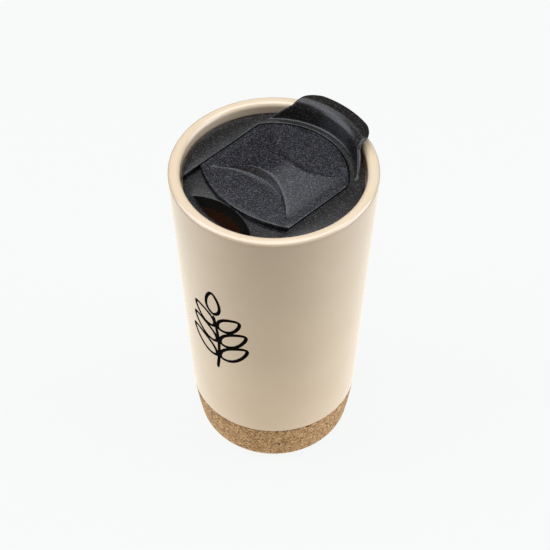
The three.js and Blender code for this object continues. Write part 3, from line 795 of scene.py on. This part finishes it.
def cream_glaze():
    """Cream glaze: slow drifts of tone, an even gloss with a soft orange peel, and a painted glow:
    a faint warm emission deep inside the cup that stands in for the light many bounces leave there."""
    n = Nodes("cream_glaze")
    drift = n.ramp(n.noise(30, 3), (0.35, 0.0), (0.65, 1.0))
    tone = n.mix(drift, (0.75, 0.598, 0.418), (0.78, 0.632, 0.448))
    fleck = n.ramp(n.noise(1.1, 2), (0.70, 0.0), (0.76, 0.35))
    tone = n.mix(fleck, tone, (0.6, 0.46, 0.3))
    rough = n.ramp(n.noise(6, 3), (0.3, 0.2), (0.7, 0.27))
    peel = n.bump(n.noise(3.5, 2), 0.02, 0.25)
    place = n.add("ShaderNodeSeparateXYZ", Vector=n.place)
    x_squared, y_squared = (n.math("POWER", place.outputs[axis], 2.0) for axis in "XY")
    across = n.math("ADD", x_squared, y_squared)
    inside = n.math("LESS_THAN", across, (MOUTH_RADIUS * MM) ** 2)
    below = n.math("LESS_THAN", place.outputs["Z"], (SKIRT_BOTTOM - 10) * MM)
    above = n.math("GREATER_THAN", place.outputs["Z"], (BORE_FLOOR - 1) * MM)
    painted_glow_region = n.math("MULTIPLY", n.math("MULTIPLY", inside, below), above)
    # Painted glow: the bore below the lid gives off a faint warm light of its own, in place of light
    # bounced round inside the cup.
    glow = n.math("MULTIPLY", painted_glow_region, 0.012)
    return n.finish(Base_Color=tone, Roughness=rough, Normal=peel, Coat_Weight=1.0, Coat_Roughness=0.06,
                    Coat_Normal=peel, Emission_Color=(0.42, 0.20, 0.15), Emission_Strength=glow)


def pressed_cork():
    """Pressed cork: small granules of differing tan, dark bark flecks, and open grain between."""
    n = Nodes("pressed_cork")
    granule = n.ramp(n.cells(0.8), (0.1, (0.34, 0.185, 0.078)), (0.5, (0.61, 0.38, 0.185)),
                     (0.9, (0.84, 0.585, 0.34)))
    fine = n.ramp(n.noise(0.3, 4, 0.7), (0.3, 0.75), (0.7, 1.1))
    body = n.mix(1.0, granule, fine, "MULTIPLY")
    fleck = n.ramp(n.noise(0.95, 3, 0.6), (0.58, 0.0), (0.62, 1.0))
    colour = n.mix(fleck, body, (0.085, 0.038, 0.017))
    edge = n.cells(0.8, "Distance", "DISTANCE_TO_EDGE")
    crack = n.ramp(edge, (0.0, 0.0), (0.12, 1.0))
    normal = n.bump(crack, 0.08, 0.5)
    normal = n.bump(n.noise(0.3, 4, 0.7), 0.12, 0.6, below=normal)
    return n.finish(Base_Color=colour, Roughness=0.85, Normal=normal, Specular_IOR_Level=0.3)


def flecked_plastic(name, dark, light, sparkle, rough_low, rough_high, grain, amount):
    """Moulded plastic with a fine spark-eroded texture and mineral flecks that catch the light.

    Some flecks are cool and some warm. Each fleck also lies at its own small tilt. Below the
    channel's floor there are no flecks and there is little shine.
    """
    n = Nodes(name)
    height = n.add("ShaderNodeSeparateXYZ", Vector=n.place).outputs["Z"]
    clean = n.math("GREATER_THAN", height, (CHANNEL_FLOOR - OPENING_EDGE_ROUND) * MM)
    chance = n.add("ShaderNodeSeparateColor", Color=n.cells(grain))
    fleck = n.ramp(chance.outputs["Red"], (1 - amount, 0.0), (1.0, 1.0))
    fleck = n.math("MULTIPLY", fleck, clean)
    shine = n.math("MULTIPLY_ADD", clean, 0.4)
    shine.node.inputs[2].default_value = 0.1
    tint = n.mix(chance.outputs["Green"], sparkle, (sparkle[2] * 0.8, sparkle[1] * 0.85, sparkle[0]))
    mottled = n.mix(n.ramp(n.noise(9, 3), (0.35, 0.0), (0.65, 1.0)), dark, light)
    colour = n.mix(fleck, mottled, tint)
    rough = n.ramp(n.noise(grain * 1.5, 2), (0.3, rough_low), (0.7, rough_high))
    normal = n.bump(chance.outputs["Blue"], 0.012, 0.5)
    normal = n.bump(n.noise(grain * 0.8, 2, 0.6), 0.03, 0.5, below=normal)
    return n.finish(Base_Color=colour, Roughness=rough, Normal=normal, Specular_IOR_Level=shine)


def matt_silicone():
    """Dark silicone: a dusty bloom over a faint mould texture."""
    n = Nodes("matt_silicone")
    tone = n.mix(n.ramp(n.noise(4, 4), (0.3, 0.0), (0.7, 1.0)), (0.018, 0.018, 0.02), (0.032, 0.032, 0.034))
    return n.finish(Base_Color=tone, Roughness=0.62, Normal=n.bump(n.noise(0.4, 3), 0.02, 0.4))


def black_ink():
    """Printed enamel: near black, a little uneven where it was laid down."""
    n = Nodes("black_ink")
    patch = n.ramp(n.noise(1.2, 4), (0.3, 0.0), (0.7, 1.0))
    tone = n.mix(patch, (0.0004, 0.0004, 0.0004), (0.0012, 0.0011, 0.001))
    return n.finish(Base_Color=tone, Roughness=0.55, Specular_IOR_Level=0.01,
                    Normal=n.bump(n.noise(0.5, 3), 0.01, 0.3))


def dress(piece, material):
    piece.data.materials.clear()
    piece.data.materials.append(material)


# ---- Camera, floor and lights ----
FLOOR_COLOUR = (0.931, 0.947, 0.939)


def camera():
    """A long lens looking down at the cup, with its axis a little left of the middle."""
    data = bpy.data.cameras.new("camera")
    data.sensor_width = 36.0
    data.lens = 150.55
    data.clip_end = 20
    eye = bpy.data.objects.new("camera", data)
    bpy.context.scene.collection.objects.link(eye)
    eye.location = (0.00046, -0.6869, RIM_HEIGHT * MM + 0.6734)
    eye.rotation_euler = (HALF - 0.8219, 0, 0)
    bpy.context.scene.camera = eye


def seen_or_bounced(tree, seen, bounced):
    """One shader for what is looked at straight, and another for the light that it gives."""
    path = tree.nodes.new("ShaderNodeLightPath")
    pick = tree.nodes.new("ShaderNodeMixShader")
    tree.links.new(path.outputs["Is Camera Ray"], pick.inputs["Fac"])
    tree.links.new(bounced, pick.inputs[1])
    tree.links.new(seen, pick.inputs[2])
    return pick.outputs["Shader"]


def floor():
    """A pale floor with the faintest shadow. The light it throws back fades away from the cup."""
    size = 4.0
    outline = [(-size, -size, 0), (size, -size, 0), (size, size, 0), (-size, size, 0)]
    mesh = bpy.data.meshes.new("floor")
    mesh.from_pydata(outline, [], [(0, 1, 2, 3)])
    sheet = bpy.data.objects.new("floor", mesh)
    bpy.context.scene.collection.objects.link(sheet)
    n = Nodes("pale_floor")
    output = n.shader.outputs["BSDF"].links[0].to_node
    n.finish(Base_Color=(0.05, 0.05, 0.05), Roughness=0.9, Specular_IOR_Level=0.0,
             Emission_Color=FLOOR_COLOUR, Emission_Strength=0.95)
    distance = n.add("ShaderNodeVectorMath")
    distance.operation = "LENGTH"
    n.put(distance, "0", n.place)
    fade = n.add("ShaderNodeMapRange")
    fade.interpolation_type = "SMOOTHSTEP"
    n.put(fade, "Value", distance.outputs["Value"])
    for key, value in (("From Min", 0.1), ("From Max", 0.42), ("To Min", 1.05), ("To Max", 0.12)):
        n.put(fade, key, value)
    glow = n.add("ShaderNodeEmission", Color=(1.0, 0.94, 0.83, 1), Strength=fade.outputs["Result"])
    picked = seen_or_bounced(n.tree, n.shader.outputs["BSDF"], glow.outputs["Emission"])
    n.tree.links.new(picked, output.inputs["Surface"])
    dress(sheet, n.material)


def soft_box(name, place, aim, size, radiance, colour=(1, 1, 1)):
    """A rectangular lamp of an even brightness, turned to face a point."""
    data = bpy.data.lights.new(name, "AREA")
    data.shape = "RECTANGLE"
    data.size, data.size_y = size
    data.energy = radiance * math.pi * size[0] * size[1]
    data.color = colour
    lamp = bpy.data.objects.new(name, data)
    bpy.context.scene.collection.objects.link(lamp)
    lamp.location = place
    lamp.rotation_euler = (Vector(aim) - Vector(place)).to_track_quat("-Z", "Y").to_euler()


def studio():
    scene = bpy.context.scene
    scene.view_settings.view_transform = "Standard"
    world = bpy.data.worlds.new("studio")
    world.use_nodes = True
    tree = world.node_tree
    dim = tree.nodes["Background"]
    dim.inputs["Color"].default_value = (1.0, 0.85, 0.68, 1)
    dim.inputs["Strength"].default_value = 0.12
    pale = tree.nodes.new("ShaderNodeBackground")
    pale.inputs["Color"].default_value = (*FLOOR_COLOUR, 1)
    output = dim.outputs["Background"].links[0].to_node
    picked = seen_or_bounced(tree, pale.outputs["Background"], dim.outputs["Background"])
    tree.links.new(picked, output.inputs["Surface"])
    scene.world = world
    target = (0, 0, 0.09)
    cool = (0.93, 1.0, 1.14)
    soft_box("left_box", (-0.73, -0.05, 0.54), target, (0.6, 0.9), 2.5, cool)
    soft_box("right_box", (0.75, -0.05, 0.42), target, (0.6, 0.9), 2.9, cool)
    soft_box("top_box", (-0.05, 0.05, 1.1), target, (1.15, 1.0), 2.6, (0.97, 1.0, 1.05))


# ---- The assembly ----
camera()
floor()
studio()

glaze = cream_glaze()
lid_plastic = flecked_plastic("lid_plastic", (0.0065, 0.0062, 0.0055), (0.0092, 0.0087, 0.0078),
                              (0.042, 0.047, 0.058), 0.2, 0.29, 0.45, 0.32)
slider_plastic = flecked_plastic("slider_plastic", (0.0065, 0.0075, 0.0095), (0.0095, 0.0105, 0.013),
                                 (0.065, 0.08, 0.11), 0.17, 0.27, 0.4, 0.36)
silicone = matt_silicone()

body = glazed_body()
dress(body, glaze)
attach(body, "cup")
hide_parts("ceramic_body")

cork = cork_cup()
dress(cork, pressed_cork())
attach(cork, "cup")
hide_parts("cork_base")

sprig = printed_sprig()
dress(sprig, black_ink())
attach(sprig, "cup")

moulding = lid_moulding()
dress(moulding, lid_plastic)
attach(moulding, "lid")
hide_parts("lid_body")

gasket = gasket_ring()
dress(gasket, silicone)
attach(gasket, "gasket")
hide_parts("lid_gasket")

plate = slider_plate()
dress(plate, slider_plastic)
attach(plate, "slider")
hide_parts("slider_top")

dress(frame["nodes"]["slider_carrier"], lid_plastic)
dress(frame["nodes"]["slider_seal"], silicone)
dress(frame["nodes"]["vent_plug"], silicone)
